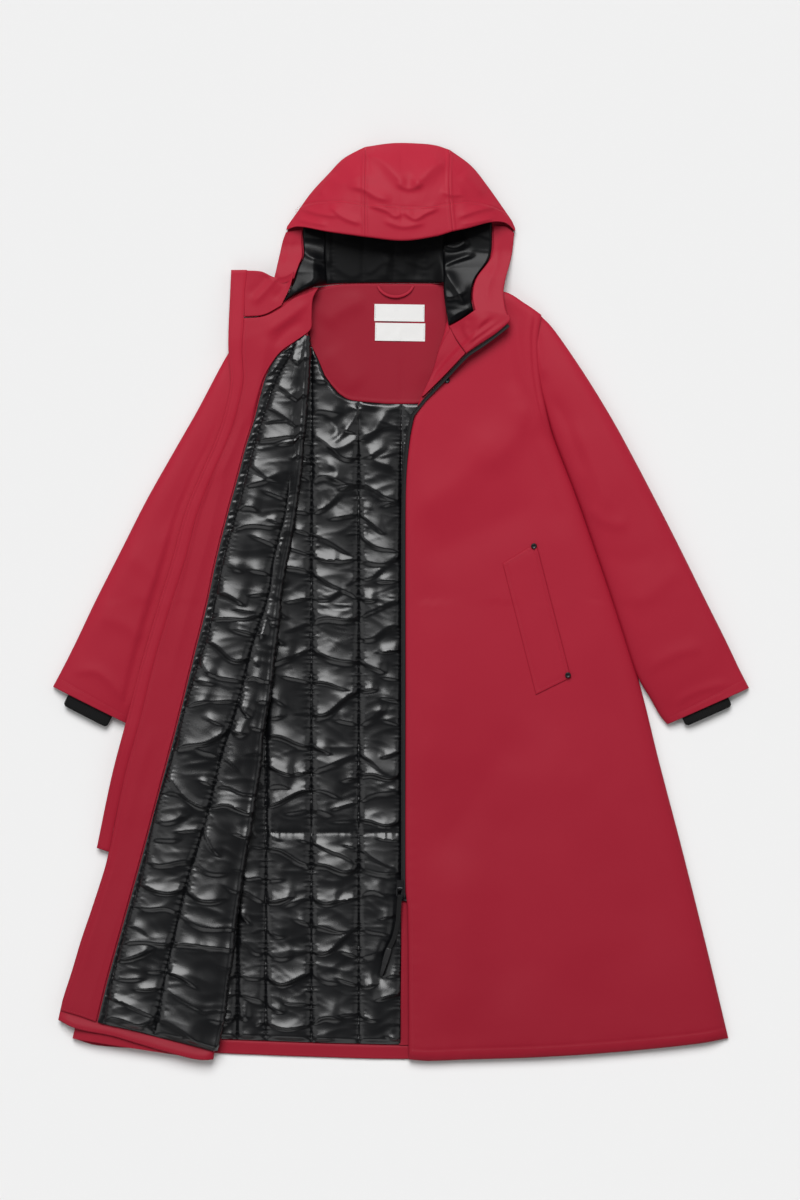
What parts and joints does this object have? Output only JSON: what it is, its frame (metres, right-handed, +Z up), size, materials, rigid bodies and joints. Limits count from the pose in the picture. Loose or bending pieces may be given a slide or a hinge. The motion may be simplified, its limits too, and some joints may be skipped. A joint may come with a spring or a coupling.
{
  "type": "raincoat",
  "caption": "Long hooded padded raincoat laid open on its back, one front closed and the other folded back to show its quilted lining.",
  "frame": {"origin": "On the surface it lies on, below the middle of the laid-out coat.", "axes": "+X is the wearer's left, +Y runs from the hem to the hood, +Z is up from the surface."},
  "size_m": [1.0872, 1.4323, 0.0555],
  "materials": {
    "shell": "matte waterproof cloth",
    "dark_shell": "matte waterproof cloth",
    "quilting": "glossy quilted nylon",
    "rib": "rib knit",
    "zip_cloth": "woven tape",
    "metal": "black enamel",
    "rubber": "moulded",
    "label": "satin label"
  },
  "bodies": {
    "coat": {"back_lining": "quilting", "back_shell": "shell", "back_yoke": "shell", "front_snap": "metal", "hanger_loop": "dark_shell", "hood_back": "shell", "hood_facing_left": "shell", "hood_facing_right": "shell", "hood_left": "shell", "hood_lining_left": "quilting", "hood_lining_middle": "quilting", "hood_lining_right": "quilting", "hood_middle": "shell", "hood_right": "shell", "left_collar": "shell", "left_cuff": "rib", "left_facing": "shell", "left_front": "shell", "left_sleeve": "shell", "neck_label": "label", "pocket_snap_lower": "metal", "pocket_snap_upper": "metal", "pocket_welt": "shell", "right_collar": "shell", "right_cuff": "rib", "right_facing": "shell", "right_front": "shell", "right_lining": "quilting", "right_sleeve": "shell", "size_label": "label", "storm_flap": "shell", "vent_facing": "dark_shell", "zip_slider": "metal", "zip_tape": "zip_cloth"},
    "zip_pull": {"zip_pull_loop": "metal", "zip_pull_ribbon": "zip_cloth", "zip_pull_tip": "rubber"}
  },
  "joints": [
    {"name": "zip_pull_swing", "type": "hinge", "parent": "coat", "child": "zip_pull", "pos_m": [-0.0007, -0.446, 0.0175], "axis": [-1, 0, 0], "range_deg": [0, 165]}
  ]
}
